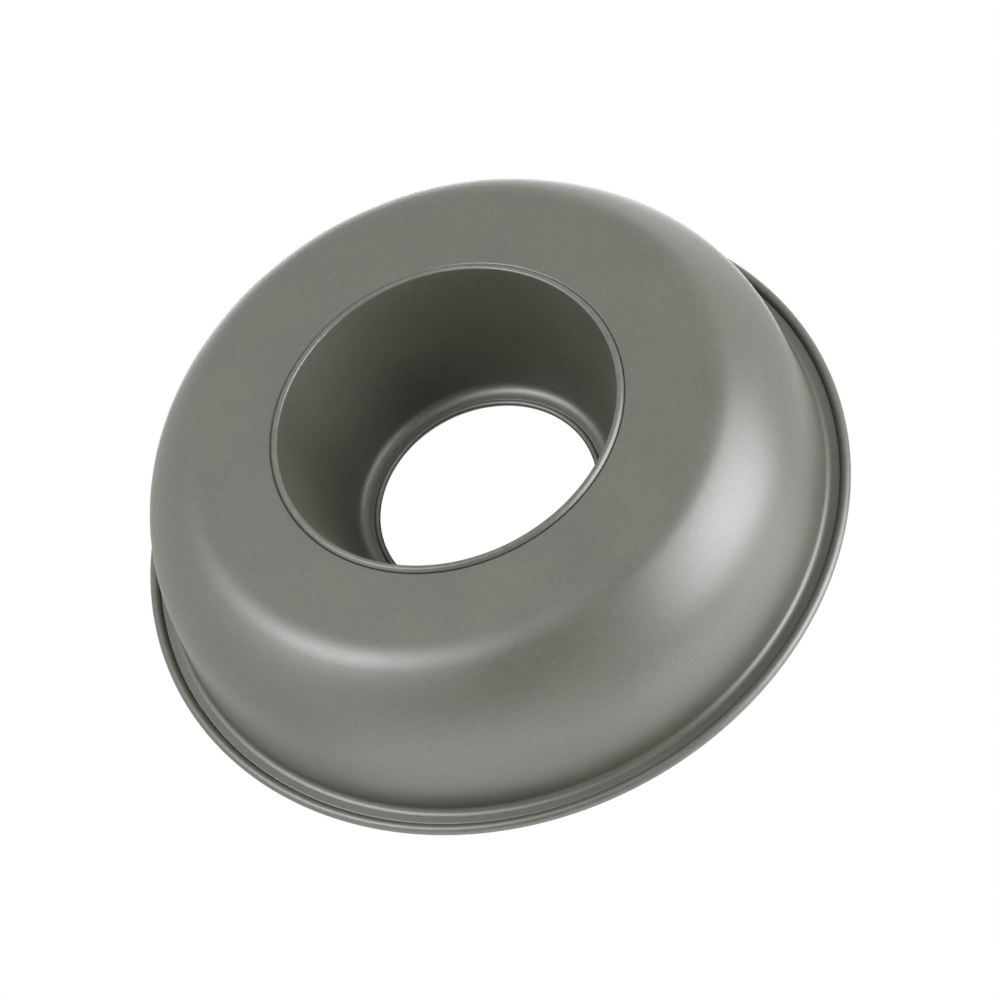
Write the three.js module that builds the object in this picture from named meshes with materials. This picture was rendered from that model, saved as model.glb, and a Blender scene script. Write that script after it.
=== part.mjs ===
import * as THREE from 'three';

// Ring cake pan of coated sheet steel, in millimetres, standing on its base with the open side up.
// Two pressed sheets hook into each other in a seam round the centre hole.

const rimDiameter = 260;
const panHeight = 65.85;
const sheet = 0.7;
const halfSheet = sheet / 2;
const foldGap = 0.3; // air left between two folded layers
const seamGap = 0.1; // air left in the visible groove of the seam
const facets = 48; // round the axis, the same on every piece so that they nest

// Outer shell: base, shoulder, wall, flange and rim.
const seamProud = 1.05; // the seam stands below the flat base and carries the pan
const baseCornerRadius = 18; // outside face, where the shoulder leaves the base
const baseCornerTurn = THREE.MathUtils.degToRad(34);
const shoulderRadius = 43; // outside face, from there up to the wall
const wallLean = THREE.MathUtils.degToRad(5); // opens upwards
const wallFootRadius = 121.3; // where the wall would meet the underside of the flange
const creaseRadius = 2.5; // outside face, between wall and flange
const rimBeadRadius = 1.95;
const rimBeadLift = 0.5; // bead centre above the underside of the flange
const rimDipRadius = 0.9; // middle line, where the flange turns up into the bead
const rimWireRadius = 1;

// Centre tube: hem, cone, small flange and small bead.
const tubeHeight = 58.3;
const tubeLean = THREE.MathUtils.degToRad(13.5); // closes upwards
const tubeFootRadius = 60.75; // hole side of the cone at the seam
const tubeFilletRadius = 4.5; // hole side, between cone and flange
const tubeBeadRadius = 1.2;
const tubeBeadCentre = 41.35;
const tubeBeadLift = 0.5;
const tubeDipRadius = 0.8;

// Seam: the tube's hem opens upwards and the shell's fold drops into it.
const hemCornerRadius = 0.9; // outside face
const crestWidth = 0.35; // the flat that the pan stands on
const hemSlope = THREE.MathUtils.degToRad(45); // from the crest up to the outer layer of the hem
const foldHeight = 3.4; // centre of the fold above the ground
const hookDepth = 1.7; // from the centre of the fold down to the free end of the shell
const baseBendRadius = 0.1; // upper face, where the base turns up into the seam

const sin = Math.sin;
const cos = Math.cos;
const rightAngle = Math.PI / 2;
const halfTurn = Math.PI;

// The sheet is described by the arcs of its middle line. Straight stretches join one arc to the next.
// An arc turns left when its angle grows and right when it shrinks. An end of the sheet is an arc of no size.
function arc(r, z, radius, from, to, steps) {
  return { r, z, radius, from, to, steps };
}

function sheetEnd(r, z, rightSide) {
  return arc(r, z, 0, rightSide, rightSide, 0);
}

function sheetOutline(arcs) {
  const leftFace = [];
  const rightFace = [];
  for (const { r, z, radius, from, to, steps } of arcs) {
    const towardsCentre = to < from ? -halfSheet : halfSheet;
    for (let step = 0; step <= steps; step += 1) {
      const angle = steps === 0 ? from : THREE.MathUtils.lerp(from, to, step / steps);
      const left = radius - towardsCentre;
      const right = radius + towardsCentre;
      leftFace.push(new THREE.Vector2(r + left * cos(angle), z + left * sin(angle)));
      rightFace.push(new THREE.Vector2(r + right * cos(angle), z + right * sin(angle)));
    }
  }
  const outline = [...rightFace, ...leftFace.reverse()];
  outline.push(outline[0].clone());
  return outline;
}

function spun(name, outline, material) {
  const geometry = new THREE.LatheGeometry(outline, facets);
  geometry.rotateX(rightAngle);
  const mesh = new THREE.Mesh(geometry, material);
  mesh.name = name;
  return mesh;
}

// The layers of the seam lie parallel to the cone. A point in the seam is given by its height
// and by its distance from the middle line of the cone, measured square to the cone.
const hookLayer = sheet + foldGap;
const hemLayer = 2 * hookLayer;
const legLayer = hemLayer + sheet + seamGap;
const seamZero = hemCornerRadius;
const coneFootRadius = tubeFootRadius + halfSheet / cos(tubeLean);

function seamRadius(distance, z) {
  return coneFootRadius + (distance - (z - seamZero) * sin(tubeLean)) / cos(tubeLean);
}

// A bead grows out of a flange through a small upward dip. The dip and the bead touch without a kink.
function beadFit(flangeMiddle, beadCentreZ, beadMiddleRadius, dipRadius) {
  const rise = flangeMiddle + dipRadius - beadCentreZ;
  const reach = dipRadius + beadMiddleRadius;
  return {
    dipZ: flangeMiddle + dipRadius,
    dipOffset: Math.sqrt(reach * reach - rise * rise),
    touch: Math.asin(rise / reach),
  };
}

// Outer shell, followed from its hook inside the seam out to the end of the rim curl.
const baseMiddle = seamProud + halfSheet;
const bendMiddleRadius = baseBendRadius + halfSheet;
const bendZ = baseMiddle + bendMiddleRadius;
const foldRadius = (legLayer - hookLayer) / 2;
const foldLayer = (legLayer + hookLayer) / 2;
const hookEndZ = foldHeight - hookDepth;

const rimBeadZ = panHeight - rimBeadRadius;
const rimBeadCentre = rimDiameter / 2 - rimBeadRadius;
const rimBeadMiddleRadius = rimBeadRadius - halfSheet;
const flangeUnderside = rimBeadZ - rimBeadLift;
const rimFit = beadFit(flangeUnderside + halfSheet, rimBeadZ, rimBeadMiddleRadius, rimDipRadius);
const rimCurlEnd = THREE.MathUtils.degToRad(-160);

function wallOffsetRadius(offset, z) {
  return wallFootRadius + (offset + (z - flangeUnderside) * sin(wallLean)) / cos(wallLean);
}

const baseCornerZ = seamProud + baseCornerRadius;
const shoulderApart = shoulderRadius - baseCornerRadius;
const shoulderZ = baseCornerZ + shoulderApart * cos(baseCornerTurn);
const shoulderCentre = wallOffsetRadius(-shoulderRadius, shoulderZ);
const cornerEnd = baseCornerTurn - rightAngle;
const creaseZ = flangeUnderside - creaseRadius;
const shellOutline = sheetOutline([
  sheetEnd(seamRadius(hookLayer, hookEndZ), hookEndZ, tubeLean),
  arc(seamRadius(foldLayer, foldHeight), foldHeight, foldRadius, halfTurn + tubeLean, tubeLean, 6),
  arc(
    seamRadius(legLayer + bendMiddleRadius, bendZ),
    bendZ,
    bendMiddleRadius,
    tubeLean - halfTurn,
    -rightAngle,
    3,
  ),
  arc(
    shoulderCentre + shoulderApart * sin(baseCornerTurn),
    baseCornerZ,
    baseCornerRadius - halfSheet,
    -rightAngle,
    cornerEnd,
    5,
  ),
  arc(shoulderCentre, shoulderZ, shoulderRadius - halfSheet, cornerEnd, -wallLean, 8),
  arc(
    wallOffsetRadius(creaseRadius, creaseZ),
    creaseZ,
    creaseRadius + halfSheet,
    halfTurn - wallLean,
    rightAngle,
    4,
  ),
  arc(rimBeadCentre - rimFit.dipOffset, rimFit.dipZ, rimDipRadius, -rightAngle, -rimFit.touch, 3),
  arc(rimBeadCentre, rimBeadZ, rimBeadMiddleRadius, halfTurn - rimFit.touch, rimCurlEnd, 12),
]);

// Centre tube, followed from the end of its hem, down round the hem, up the cone and in to the small curl.
const hemMiddleRadius = hemCornerRadius - halfSheet;
const slopeReach = hemLayer - 2 * hemMiddleRadius - crestWidth * cos(tubeLean);
const slopeLength = slopeReach / cos(hemSlope - tubeLean);
const innerCorner = seamRadius(hemMiddleRadius, seamZero);
const crestEnd = innerCorner + crestWidth;
const outerCorner = crestEnd + slopeLength * cos(hemSlope);
const outerCornerZ = seamZero + slopeLength * sin(hemSlope);

const tubeBeadZ = tubeHeight - tubeBeadRadius;
const tubeFlangeUnderside = tubeBeadZ - tubeBeadLift;
const tubeFit = beadFit(
  tubeFlangeUnderside + halfSheet,
  tubeBeadZ,
  tubeBeadRadius - halfSheet,
  tubeDipRadius,
);
const tubeFilletZ = tubeFlangeUnderside - tubeFilletRadius;
const tubeCurlEnd = THREE.MathUtils.degToRad(312);

const tubeOutline = sheetOutline([
  sheetEnd(seamRadius(hemLayer, foldHeight), foldHeight, tubeLean - halfTurn),
  arc(outerCorner, outerCornerZ, hemMiddleRadius, tubeLean, hemSlope - rightAngle, 3),
  arc(crestEnd, seamZero, hemMiddleRadius, hemSlope - rightAngle, -rightAngle, 2),
  arc(innerCorner, seamZero, hemMiddleRadius, -rightAngle, tubeLean - halfTurn, 3),
  arc(
    seamRadius(-tubeFilletRadius - halfSheet, tubeFilletZ),
    tubeFilletZ,
    tubeFilletRadius + halfSheet,
    tubeLean,
    rightAngle,
    4,
  ),
  arc(
    tubeBeadCentre + tubeFit.dipOffset,
    tubeFit.dipZ,
    tubeDipRadius,
    -rightAngle,
    tubeFit.touch - halfTurn,
    3,
  ),
  arc(tubeBeadCentre, tubeBeadZ, tubeBeadRadius - halfSheet, tubeFit.touch, tubeCurlEnd, 9),
]);

const coatedSteel = { color: 0x77776e, roughness: 0.42, metalness: 0.6 };
const bareSteel = { color: 0xa9aaa8, roughness: 0.35, metalness: 0.9 };

const outerShell = spun('outer_shell', shellOutline, new THREE.MeshStandardMaterial(coatedSteel));
const centreTube = spun('centre_tube', tubeOutline, new THREE.MeshStandardMaterial(coatedSteel));

const rimWire = new THREE.Mesh(
  new THREE.TorusGeometry(rimBeadCentre, rimWireRadius, 10, facets),
  new THREE.MeshStandardMaterial(bareSteel),
);
rimWire.name = 'rim_wire';
rimWire.position.z = rimBeadZ;

const ringCakePan = new THREE.Group();
ringCakePan.name = 'ring_cake_pan';
ringCakePan.add(outerShell, centreTube, rimWire);

export default ringCakePan;
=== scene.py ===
import math

import bmesh
import bpy
from mathutils import Matrix, Vector


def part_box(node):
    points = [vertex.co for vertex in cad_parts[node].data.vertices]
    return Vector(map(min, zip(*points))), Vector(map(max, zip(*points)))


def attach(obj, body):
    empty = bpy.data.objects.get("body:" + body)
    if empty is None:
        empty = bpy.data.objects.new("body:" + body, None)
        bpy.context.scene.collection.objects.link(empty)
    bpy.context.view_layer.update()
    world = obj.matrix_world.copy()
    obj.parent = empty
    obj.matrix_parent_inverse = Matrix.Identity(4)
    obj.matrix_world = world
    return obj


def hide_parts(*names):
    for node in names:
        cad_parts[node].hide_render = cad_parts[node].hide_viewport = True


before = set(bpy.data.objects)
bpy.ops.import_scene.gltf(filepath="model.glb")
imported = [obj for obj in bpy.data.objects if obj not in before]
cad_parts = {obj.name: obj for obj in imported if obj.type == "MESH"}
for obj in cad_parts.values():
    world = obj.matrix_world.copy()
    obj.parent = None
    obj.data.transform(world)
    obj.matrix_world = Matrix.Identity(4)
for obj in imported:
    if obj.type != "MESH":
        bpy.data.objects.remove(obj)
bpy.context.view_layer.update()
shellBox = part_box("outer_shell")
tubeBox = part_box("centre_tube")
print("frame loaded:", ", ".join(sorted(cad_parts)))


# Lengths are in metres and angles in radians, measured in the plane of the section:
# x is the distance from the axis, z is the height, and an angle runs from x towards z.

sheetSettings = {
    "thickness": 0.0007,  # steel with its coating
    "layerGap": 0.0003,  # air between folded layers
    "seamGap": 0.0001,  # air in the visible groove of the seam
    "roundSteps": 180,  # faces round the axis
    "straightStep": 0.005,  # longest face along a straight stretch
    "arcStep": math.radians(4.5),  # turn of one face along an arc
    "fewestArcSteps": 6,
    "mergeDistance": 1e-7,  # points closer than this are one
    "edgeRound": 0.00012,  # cut edges of the sheet
    "edgeSegments": 2,
    "edgeAngle": math.radians(60),  # only corners sharper than this are rounded
}

halfSheet = sheetSettings["thickness"] / 2
layerStep = sheetSettings["thickness"] + sheetSettings["layerGap"]
hemLayer = 2 * layerStep
legLayer = hemLayer + sheetSettings["thickness"] + sheetSettings["seamGap"]
rightAngle = math.pi / 2


def sectionPoint(centre, radius, angle):
    return Vector((centre[0] + radius * math.cos(angle), 0, centre[1] + radius * math.sin(angle)))


def drawStraight(bm, pen, end):
    start = pen.co.copy()
    pieces = max(1, math.ceil((end - start).length / sheetSettings["straightStep"]))
    for piece in range(1, pieces + 1):
        pen = bmesh.ops.extrude_vert_indiv(bm, verts=[pen])["verts"][0]
        pen.co = start.lerp(end, piece / pieces)
    return pen


def drawArc(bm, pen, centre, sweep):
    steps = max(sheetSettings["fewestArcSteps"], math.ceil(abs(sweep) / sheetSettings["arcStep"]))
    turned = bmesh.ops.spin(
        bm,
        geom=[pen],
        cent=(centre[0], 0, centre[1]),
        axis=(0, -1, 0),
        angle=sweep,
        steps=steps,
    )
    return next(part for part in turned["geom_last"] if isinstance(part, bmesh.types.BMVert))


def spinSheet(bm):
    bmesh.ops.remove_doubles(bm, verts=bm.verts[:], dist=sheetSettings["mergeDistance"])
    bmesh.ops.spin(
        bm,
        geom=bm.verts[:] + bm.edges[:],
        cent=(0, 0, 0),
        axis=(0, 0, 1),
        angle=2 * math.pi,
        steps=sheetSettings["roundSteps"],
        use_merge=True,
    )
    bmesh.ops.remove_doubles(bm, verts=bm.verts[:], dist=sheetSettings["mergeDistance"])
    bmesh.ops.recalc_face_normals(bm, faces=bm.faces[:])


def meshPiece(name, bm, material):
    mesh = bpy.data.meshes.new(name)
    bm.to_mesh(mesh)
    bm.free()
    mesh.shade_smooth()
    mesh.materials.append(material)
    piece = bpy.data.objects.new(name, mesh)
    bpy.context.scene.collection.objects.link(piece)
    return piece


# A pressed sheet follows its middle line: arcs of (centre, radius, start angle, sweep),
# with a straight stretch from the end of one arc to the start of the next.
def pressedSheet(name, arcs, material):
    bm = bmesh.new()
    pen = None
    for centre, radius, start, sweep in arcs:
        arcStart = sectionPoint(centre, radius, start)
        pen = drawStraight(bm, pen, arcStart) if pen else bm.verts.new(arcStart)
        if sweep:
            pen = drawArc(bm, pen, centre, sweep)
    spinSheet(bm)
    piece = meshPiece(name, bm, material)
    wall = piece.modifiers.new("sheet thickness", "SOLIDIFY")
    wall.thickness = sheetSettings["thickness"]
    wall.offset = 0
    wall.use_even_offset = True
    edge = piece.modifiers.new("cut edges", "BEVEL")
    edge.width = sheetSettings["edgeRound"]
    edge.segments = sheetSettings["edgeSegments"]
    edge.limit_method = "ANGLE"
    edge.angle_limit = sheetSettings["edgeAngle"]
    print(name, "drawn from", len(arcs), "arcs")
    return piece


# Coating

coatSettings = {
    "paleTone": (0.078, 0.077, 0.053),
    "darkTone": (0.054, 0.0535, 0.037),
    "wornTone": (0.17, 0.17, 0.16),
    "specular": 1.0,
    "ior": 1.58,
    "toneScale": 28,  # soft patches, about 35 mm
    "toneDetail": 3,
    "flakeScale": 700,  # metal flakes, about 1.4 mm
    "flakeDetail": 1,
    "flakeShare": 0.55,
    "darkAt": 0.32,  # where the blend of patches and flakes is darkest and palest
    "paleAt": 0.68,
    "smoothest": 0.42,
    "roughest": 0.48,
    "grainScale": 600,  # sprayed texture, about 1.7 mm
    "grainDetail": 2,
    "grainHeight": 0.00002,
    "grainStrength": 0.5,
    "wearScale": 260,  # rubbed spots along an edge, about 4 mm
    "wearDetail": 3,
    "wearStart": 0.4,  # noise below this is left alone, and above the next is rubbed most
    "wearFull": 0.7,
    "wearShare": 0.25,
}
noiseLow, noiseHigh = 0.3, 0.7  # nearly all of a noise lies between these


def newMaterial(name):
    material = bpy.data.materials.new(name)
    material.use_nodes = True
    return material, material.node_tree, material.node_tree.nodes["Principled BSDF"]


def objectPlace(tree):
    return tree.nodes.new("ShaderNodeTexCoord").outputs["Object"]


def noiseField(tree, place, scale, detail):
    noise = tree.nodes.new("ShaderNodeTexNoise")
    noise.inputs["Scale"].default_value = scale
    noise.inputs["Detail"].default_value = detail
    tree.links.new(place, noise.inputs["Vector"])
    return noise.outputs["Fac"]


def mappedRange(tree, value, low, high, fromLow=noiseLow, fromHigh=noiseHigh):
    scaled = tree.nodes.new("ShaderNodeMapRange")
    scaled.inputs["From Min"].default_value = fromLow
    scaled.inputs["From Max"].default_value = fromHigh
    scaled.inputs["To Min"].default_value = low
    scaled.inputs["To Max"].default_value = high
    tree.links.new(value, scaled.inputs["Value"])
    return scaled.outputs["Result"]


# How far out from the axis a place is.
def axisReach(tree, place):
    level = tree.nodes.new("ShaderNodeVectorMath")
    level.operation = "MULTIPLY"
    level.inputs[1].default_value = (1, 1, 0)
    tree.links.new(place, level.inputs[0])
    reach = tree.nodes.new("ShaderNodeVectorMath")
    reach.operation = "LENGTH"
    tree.links.new(level.outputs["Vector"], reach.inputs[0])
    return reach.outputs["Value"]


def axisHeight(tree, place):
    height = tree.nodes.new("ShaderNodeSeparateXYZ")
    tree.links.new(place, height.inputs["Vector"])
    return height.outputs["Z"]


# The edge is rubbed where its measure runs from the first value to the second.
def nonstickCoat(name, edge):
    material, tree, shader = newMaterial(name)
    place = objectPlace(tree)
    patches = noiseField(tree, place, coatSettings["toneScale"], coatSettings["toneDetail"])
    flakes = noiseField(tree, place, coatSettings["flakeScale"], coatSettings["flakeDetail"])
    grain = noiseField(tree, place, coatSettings["grainScale"], coatSettings["grainDetail"])
    spots = noiseField(tree, place, coatSettings["wearScale"], coatSettings["wearDetail"])

    blend = tree.nodes.new("ShaderNodeMix")  # flakes over the soft patches
    blend.inputs["Factor"].default_value = coatSettings["flakeShare"]
    tree.links.new(patches, blend.inputs["A"])
    tree.links.new(flakes, blend.inputs["B"])
    tones = tree.nodes.new("ShaderNodeValToRGB")
    tones.color_ramp.elements[0].position = coatSettings["darkAt"]
    tones.color_ramp.elements[0].color = (*coatSettings["darkTone"], 1)
    tones.color_ramp.elements[1].position = coatSettings["paleAt"]
    tones.color_ramp.elements[1].color = (*coatSettings["paleTone"], 1)
    tree.links.new(blend.outputs["Result"], tones.inputs["Fac"])

    measure = edge["measure"](tree, place)
    atEdge = mappedRange(tree, measure, 0, 1, edge["from"], edge["to"])
    wearStart, wearFull = coatSettings["wearStart"], coatSettings["wearFull"]
    spotted = mappedRange(tree, spots, 0, coatSettings["wearShare"], wearStart, wearFull)
    rubbed = tree.nodes.new("ShaderNodeMath")
    rubbed.operation = "MULTIPLY"
    tree.links.new(atEdge, rubbed.inputs[0])
    tree.links.new(spotted, rubbed.inputs[1])
    worn = tree.nodes.new("ShaderNodeMixRGB")
    worn.inputs["Color2"].default_value = (*coatSettings["wornTone"], 1)
    tree.links.new(rubbed.outputs["Value"], worn.inputs["Fac"])
    tree.links.new(tones.outputs["Color"], worn.inputs["Color1"])
    tree.links.new(worn.outputs["Color"], shader.inputs["Base Color"])

    shader.inputs["Specular IOR Level"].default_value = coatSettings["specular"]
    shader.inputs["IOR"].default_value = coatSettings["ior"]
    gloss = mappedRange(tree, patches, coatSettings["smoothest"], coatSettings["roughest"])
    tree.links.new(gloss, shader.inputs["Roughness"])

    bump = tree.nodes.new("ShaderNodeBump")
    bump.inputs["Strength"].default_value = coatSettings["grainStrength"]
    bump.inputs["Distance"].default_value = coatSettings["grainHeight"]
    tree.links.new(grain, bump.inputs["Height"])
    tree.links.new(bump.outputs["Normal"], shader.inputs["Normal"])
    return material


# Sizes of the two sheets, which meet in the seam

shellSettings = {
    "seamProud": 0.00105,  # the seam stands below the flat base
    "baseCornerRadius": 0.018,  # outside face, where the shoulder leaves the base
    "baseCornerTurn": math.radians(34),
    "shoulderRadius": 0.043,  # outside face, from there up to the wall
    "wallLean": math.radians(5),  # opens upwards
    "wallFootRadius": 0.1213,  # where the wall would meet the underside of the flange
    "creaseRadius": 0.0025,  # outside face
    "beadRadius": 0.00195,
    "beadLift": 0.0005,  # bead centre above the underside of the flange
    "dipRadius": 0.0009,  # middle line
    "curlEnd": math.radians(-160),
    "foldHeight": 0.0034,  # centre of the fold that hooks into the hem of the tube
    "hookDepth": 0.0017,  # from there down to the free end
    "baseBendRadius": 0.0001,  # upper face
    "rubbedWidth": 0.0012,  # of the rim's outermost edge
}

tubeSettings = {
    "lean": math.radians(13.5),  # closes upwards
    "footRadius": 0.06075,  # hole side of the cone at the seam
    "filletRadius": 0.0045,  # hole side
    "beadRadius": 0.0012,
    "beadCentre": 0.04135,
    "beadLift": 0.0005,
    "dipRadius": 0.0008,
    "curlEnd": math.radians(312),
    "hemCornerRadius": 0.0009,  # outside face
    "crestWidth": 0.00035,  # the flat that the pan stands on
    "hemSlope": math.radians(45),  # from the crest up to the outer layer of the hem
    "rubbedHeight": 0.0006,  # of the crest that the pan stands on
}


# A point of the seam: so far out from the middle line of the cone, square to it, at a height.
def seamPoint(distance, height):
    lean = tubeSettings["lean"]
    foot = tubeSettings["footRadius"] + halfSheet / math.cos(lean)
    along = (height - tubeSettings["hemCornerRadius"]) * math.sin(lean)
    return foot + (distance - along) / math.cos(lean), height


# The dip where a flange turns up into its bead: sideways reach, height and the angle where they touch.
def beadFit(flangeMiddle, beadHeight, beadMiddleRadius, dipRadius):
    rise = flangeMiddle + dipRadius - beadHeight
    reach = dipRadius + beadMiddleRadius
    return math.sqrt(reach**2 - rise**2), flangeMiddle + dipRadius, math.asin(rise / reach)


# Outer shell

def shellArcs():
    size = shellSettings
    lean = size["wallLean"]
    seamLean = tubeSettings["lean"]
    baseMiddle = size["seamProud"] + halfSheet
    bendRadius = size["baseBendRadius"] + halfSheet
    beadCentre = (shellBox[1].x - size["beadRadius"], shellBox[1].z - size["beadRadius"])
    flange = beadCentre[1] - size["beadLift"]
    beadMiddle = size["beadRadius"] - halfSheet
    reach, dipHeight, touch = beadFit(flange + halfSheet, beadCentre[1], beadMiddle, size["dipRadius"])

    def besideWall(offset, height):
        run = offset + (height - flange) * math.sin(lean)
        return size["wallFootRadius"] + run / math.cos(lean), height

    turn = size["baseCornerTurn"]
    cornerHeight = size["seamProud"] + size["baseCornerRadius"]
    apart = size["shoulderRadius"] - size["baseCornerRadius"]
    shoulder = besideWall(-size["shoulderRadius"], cornerHeight + apart * math.cos(turn))
    corner = (shoulder[0] + apart * math.sin(turn), cornerHeight)
    crease = besideWall(size["creaseRadius"], flange - size["creaseRadius"])
    fold = seamPoint((layerStep + legLayer) / 2, size["foldHeight"])
    bend = seamPoint(legLayer + bendRadius, baseMiddle + bendRadius)
    return [
        (seamPoint(layerStep, size["foldHeight"] - size["hookDepth"]), 0, 0, 0),
        (fold, (legLayer - layerStep) / 2, math.pi + seamLean, -math.pi),
        (bend, bendRadius, seamLean - math.pi, rightAngle - seamLean),
        (corner, size["baseCornerRadius"] - halfSheet, -rightAngle, turn),
        (shoulder, size["shoulderRadius"] - halfSheet, turn - rightAngle, rightAngle - turn - lean),
        (crease, size["creaseRadius"] + halfSheet, math.pi - lean, lean - rightAngle),
        ((beadCentre[0] - reach, dipHeight), size["dipRadius"], -rightAngle, rightAngle - touch),
        (beadCentre, beadMiddle, math.pi - touch, size["curlEnd"] - math.pi + touch),
    ]


rimReach = shellBox[1].x
rimEdge = {"measure": axisReach, "from": rimReach - shellSettings["rubbedWidth"], "to": rimReach}
shellCoat = nonstickCoat("nonstick coat of the shell", rimEdge)
outerShell = pressedSheet("pressed_outer_shell", shellArcs(), shellCoat)
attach(outerShell, "root")
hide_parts("outer_shell")


# Centre tube

def tubeArcs():
    size = tubeSettings
    lean = size["lean"]
    hemRadius = size["hemCornerRadius"] - halfSheet
    hemHeight = size["hemCornerRadius"]
    beadHeight = tubeBox[1].z - size["beadRadius"]
    flange = beadHeight - size["beadLift"]
    filletHeight = flange - size["filletRadius"]
    beadMiddle = size["beadRadius"] - halfSheet
    reach, dipHeight, touch = beadFit(flange + halfSheet, beadHeight, beadMiddle, size["dipRadius"])
    fillet = seamPoint(-size["filletRadius"] - halfSheet, filletHeight)
    slope = size["hemSlope"]
    innerCorner = seamPoint(hemRadius, hemHeight)
    crestEnd = (innerCorner[0] + size["crestWidth"], hemHeight)
    slopeReach = hemLayer - 2 * hemRadius - size["crestWidth"] * math.cos(lean)
    slopeRun = slopeReach / math.cos(slope - lean)
    outerCorner = (crestEnd[0] + slopeRun * math.cos(slope), hemHeight + slopeRun * math.sin(slope))
    return [
        (seamPoint(hemLayer, shellSettings["foldHeight"]), 0, 0, 0),
        (outerCorner, hemRadius, lean, slope - rightAngle - lean),
        (crestEnd, hemRadius, slope - rightAngle, -slope),
        (innerCorner, hemRadius, -rightAngle, lean - rightAngle),
        (fillet, size["filletRadius"] + halfSheet, lean, rightAngle - lean),
        ((size["beadCentre"] + reach, dipHeight), size["dipRadius"], -rightAngle, touch - rightAngle),
        ((size["beadCentre"], beadHeight), beadMiddle, touch, size["curlEnd"] - touch),
    ]


crestEdge = {"measure": axisHeight, "from": tubeSettings["rubbedHeight"], "to": 0}
tubeCoat = nonstickCoat("nonstick coat of the tube", crestEdge)
centreTube = pressedSheet("pressed_centre_tube", tubeArcs(), tubeCoat)
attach(centreTube, "root")
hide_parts("centre_tube")


# Rim wire, shut inside the rim curl

wireSettings = {
    "radius": 0.001,
    "sides": 16,
    "tone": (0.40, 0.40, 0.39),
    "darkTone": (0.30, 0.30, 0.295),
    "drawnScale": 600,  # marks of drawing, about 1.7 mm
    "drawnDetail": 4,
    "smoothest": 0.28,
    "roughest": 0.45,
}


def drawnSteel(name):
    material, tree, shader = newMaterial(name)
    streaks = noiseField(tree, objectPlace(tree), wireSettings["drawnScale"], wireSettings["drawnDetail"])
    tones = tree.nodes.new("ShaderNodeValToRGB")
    tones.color_ramp.elements[0].color = (*wireSettings["darkTone"], 1)
    tones.color_ramp.elements[1].color = (*wireSettings["tone"], 1)
    tree.links.new(streaks, tones.inputs["Fac"])
    tree.links.new(tones.outputs["Color"], shader.inputs["Base Color"])
    gloss = mappedRange(tree, streaks, wireSettings["smoothest"], wireSettings["roughest"])
    tree.links.new(gloss, shader.inputs["Roughness"])
    shader.inputs["Metallic"].default_value = 1.0
    return material


def wireHoop():
    bead = shellSettings["beadRadius"]
    centre = Vector((shellBox[1].x - bead, 0, shellBox[1].z - bead))
    bm = bmesh.new()
    bmesh.ops.create_circle(
        bm,
        radius=wireSettings["radius"],
        segments=wireSettings["sides"],
        matrix=Matrix.Translation(centre) @ Matrix.Rotation(rightAngle, 4, "X"),
    )
    spinSheet(bm)
    return meshPiece("rim_hoop_wire", bm, drawnSteel("drawn steel wire"))


rimWire = wireHoop()
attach(rimWire, "root")
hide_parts("rim_wire")
print("rim wire laid in the curl")


# Camera, lights, floor and white surroundings

cameraSettings = {
    "target": (-0.0036, -0.0205, 0.03215),
    "azimuth": 0.28,
    "elevation": -54.17,
    "distance": 1.2823,
    "roll": 153.49,
    "lens": 132.42,
    "sensor": 36,
}


# A place round the pan: azimuth 0 looks along +Y, and elevation is above the horizon, in degrees.
def placeRound(target, azimuth, elevation, distance):
    turn = math.radians(azimuth)
    lift = math.radians(elevation)
    level = math.cos(lift)
    away = Vector((math.sin(turn) * level, -math.cos(turn) * level, math.sin(lift)))
    return Vector(target) + away * distance, away


def aimAt(thing, target, azimuth, elevation, distance, roll):
    place, away = placeRound(target, azimuth, elevation, distance)
    aim = (-away).to_track_quat("-Z", "Y").to_matrix() @ Matrix.Rotation(math.radians(roll), 3, "Z")
    thing.matrix_world = Matrix.Translation(place) @ aim.to_4x4()


def makeCamera():
    size = cameraSettings
    lens = bpy.data.cameras.new("photo camera")
    lens.lens = size["lens"]
    lens.sensor_width = size["sensor"]
    camera = bpy.data.objects.new("photo camera", lens)
    bpy.context.scene.collection.objects.link(camera)
    aimAt(camera, size["target"], size["azimuth"], size["elevation"], size["distance"], size["roll"])
    bpy.context.scene.camera = camera


makeCamera()

# Brightness is counted in times the white of the surroundings.
lampSettings = {
    "left strip": {"azimuth": 90, "elevation": -56, "roll": 50, "size": (0.7, 0.56), "brightness": 9.0},
    "right sheet": {"azimuth": -63, "elevation": -18, "roll": -18, "size": (0.95, 1.2), "brightness": 6.5},
    "left sheet": {"azimuth": 74, "elevation": -24, "roll": 0, "size": (1.0, 1.0), "brightness": 0.4},
    "wall sheet": {"azimuth": -43, "elevation": 40, "roll": 0, "size": (1.3, 1.0), "brightness": 1.05},
    "far sheet": {"azimuth": -142, "elevation": 8, "roll": 0, "size": (0.7, 0.8), "brightness": 0.8},
    "back sheet": {"azimuth": 186, "elevation": 42, "roll": 0, "size": (0.88, 0.75), "brightness": 4.6},
    "front sheet": {"azimuth": 36, "elevation": 24, "roll": 0, "size": (1.4, 1.4), "brightness": 0.9},
}
lampDistance = 1.2
lampTint = (0.97, 0.985, 1.04)
panMiddle = (0, 0, 0.03215)  # the lamps aim at it


def makeLamp(name, size):
    light = bpy.data.lights.new(name, "AREA")
    light.shape = "RECTANGLE"
    light.size, light.size_y = size["size"]
    light.energy = size["brightness"] * math.pi * light.size * light.size_y
    light.color = lampTint
    lamp = bpy.data.objects.new(name, light)
    bpy.context.scene.collection.objects.link(lamp)
    aimAt(lamp, panMiddle, size["azimuth"], size["elevation"], lampDistance, size["roll"])
    lamp.visible_camera = False


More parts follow.
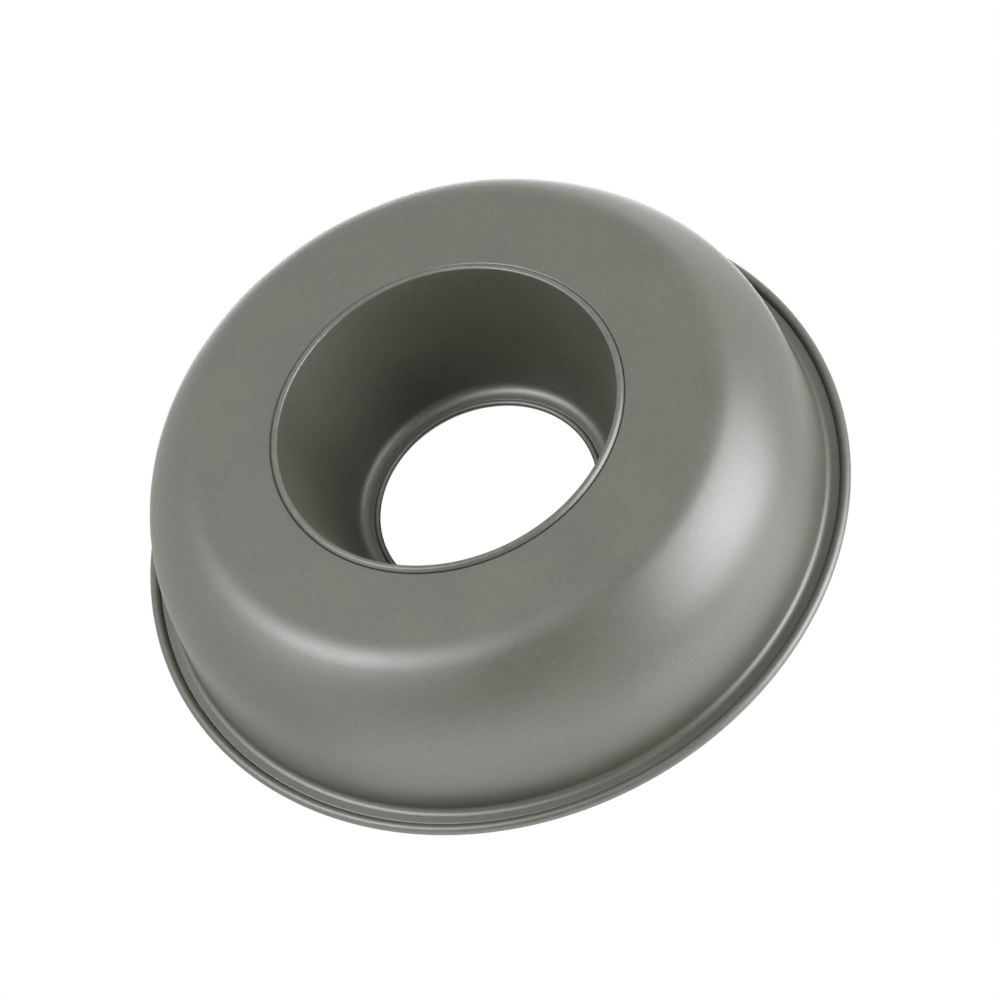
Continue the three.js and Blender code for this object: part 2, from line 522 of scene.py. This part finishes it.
for lampName, lampSize in lampSettings.items():
    makeLamp(lampName, lampSize)

floorSettings = {
    "radius": 6.0,
    "sides": 96,
    "tone": (0.86, 0.86, 0.85),
    "fadeStart": 0.3,  # fades into the white surroundings short of the lamps
    "fadeEnd": 1.1,
}


def paleFloor():
    material, tree, shader = newMaterial("pale floor")
    shader.inputs["Base Color"].default_value = (*floorSettings["tone"], 1)
    shader.inputs["Roughness"].default_value = 1.0
    shader.inputs["Specular IOR Level"].default_value = 0.0
    distance = tree.nodes.new("ShaderNodeVectorMath")
    distance.operation = "LENGTH"
    tree.links.new(objectPlace(tree), distance.inputs[0])
    fadeStart, fadeEnd = floorSettings["fadeStart"], floorSettings["fadeEnd"]
    fade = mappedRange(tree, distance.outputs["Value"], 0, 1, fadeStart, fadeEnd)
    behind = tree.nodes.new("ShaderNodeNewGeometry").outputs["Backfacing"]
    clear = tree.nodes.new("ShaderNodeMath")  # clear from below and far away
    clear.operation = "MAXIMUM"
    tree.links.new(fade, clear.inputs[0])
    tree.links.new(behind, clear.inputs[1])
    see = tree.nodes.new("ShaderNodeBsdfTransparent")
    mix = tree.nodes.new("ShaderNodeMixShader")
    tree.links.new(clear.outputs["Value"], mix.inputs["Fac"])
    tree.links.new(shader.outputs["BSDF"], mix.inputs[1])
    tree.links.new(see.outputs["BSDF"], mix.inputs[2])
    tree.links.new(mix.outputs["Shader"], tree.nodes["Material Output"].inputs["Surface"])
    return material


def makeFloor():
    bm = bmesh.new()
    bmesh.ops.create_circle(
        bm, cap_ends=True, radius=floorSettings["radius"], segments=floorSettings["sides"]
    )
    floor = meshPiece("pale_floor", bm, paleFloor())
    floor.visible_shadow = False  # the lamps below shine through it
    floor.visible_glossy = False
    floor.visible_diffuse = False
    floor.visible_transmission = False


makeFloor()

cardSettings = {
    "radius": 0.04,  # clear of the small curl
    "sides": 64,
    "drop": 0.0012,  # below the top of the small curl
    # near black: painted shade of a table lying in the pan's shadow
    "tone": (0.02, 0.02, 0.02),
}


# Keeps light out of the small end of the tube, as a table does under a pan that lies upside down.
# Its near-black tone is painted shade, standing for that table where it lies in the pan's shadow.
def makeShadedTableCard():
    material, _, shader = newMaterial("shaded table card")
    shader.inputs["Base Color"].default_value = (*cardSettings["tone"], 1)
    shader.inputs["Specular IOR Level"].default_value = 0.0
    bm = bmesh.new()
    bmesh.ops.create_circle(
        bm,
        cap_ends=True,
        radius=cardSettings["radius"],
        segments=cardSettings["sides"],
        matrix=Matrix.Translation((0, 0, tubeBox[1].z - cardSettings["drop"])),
    )
    card = meshPiece("shaded_table_card", bm, material)
    card.visible_camera = False


makeShadedTableCard()

worldSettings = {
    "seenStrength": 1.0,  # as the camera and reflections see the surroundings
    "lightStrength": 0.3,  # as they light the pan
    "cameraShade": 0.8,  # how much darker the surroundings are where the camera stands
    "shadeEdge": 58,  # degrees from the camera to the edge of that shade
}


# White surroundings, darker towards the photo camera.
def whiteSurroundings():
    world = bpy.data.worlds.new("white surroundings")
    world.use_nodes = True
    tree = world.node_tree
    light = tree.nodes["Background"]
    light.inputs["Strength"].default_value = worldSettings["lightStrength"]
    light.inputs["Color"].default_value = (1, 1, 1, 1)

    way = tree.nodes.new("ShaderNodeVectorMath")
    way.operation = "DOT_PRODUCT"
    tree.links.new(tree.nodes.new("ShaderNodeTexCoord").outputs["Generated"], way.inputs[0])
    way.inputs[1].default_value = placeRound(
        panMiddle, cameraSettings["azimuth"], cameraSettings["elevation"], 1
    )[1]
    shade = tree.nodes.new("ShaderNodeMapRange")
    shade.interpolation_type = "SMOOTHSTEP"
    shade.inputs["From Min"].default_value = math.cos(math.radians(worldSettings["shadeEdge"]))
    shade.inputs["From Max"].default_value = 1
    shade.inputs["To Min"].default_value = worldSettings["seenStrength"]
    shade.inputs["To Max"].default_value = worldSettings["seenStrength"] - worldSettings["cameraShade"]
    tree.links.new(way.outputs["Value"], shade.inputs["Value"])
    seen = tree.nodes.new("ShaderNodeBackground")
    seen.inputs["Color"].default_value = (1, 1, 1, 1)
    tree.links.new(shade.outputs["Result"], seen.inputs["Strength"])

    path = tree.nodes.new("ShaderNodeLightPath")
    seenBy = path.outputs["Is Camera Ray"]
    for ray in ("Is Glossy Ray", "Is Transmission Ray"):
        either = tree.nodes.new("ShaderNodeMath")
        either.operation = "MAXIMUM"
        tree.links.new(seenBy, either.inputs[0])
        tree.links.new(path.outputs[ray], either.inputs[1])
        seenBy = either.outputs["Value"]
    mix = tree.nodes.new("ShaderNodeMixShader")
    tree.links.new(seenBy, mix.inputs["Fac"])
    tree.links.new(light.outputs["Background"], mix.inputs[1])
    tree.links.new(seen.outputs["Background"], mix.inputs[2])
    tree.links.new(mix.outputs["Shader"], tree.nodes["World Output"].inputs["Surface"])
    bpy.context.scene.world = world


whiteSurroundings()
bpy.context.scene.view_settings.view_transform = "Standard"
print("camera, lamps, floor and surroundings set")
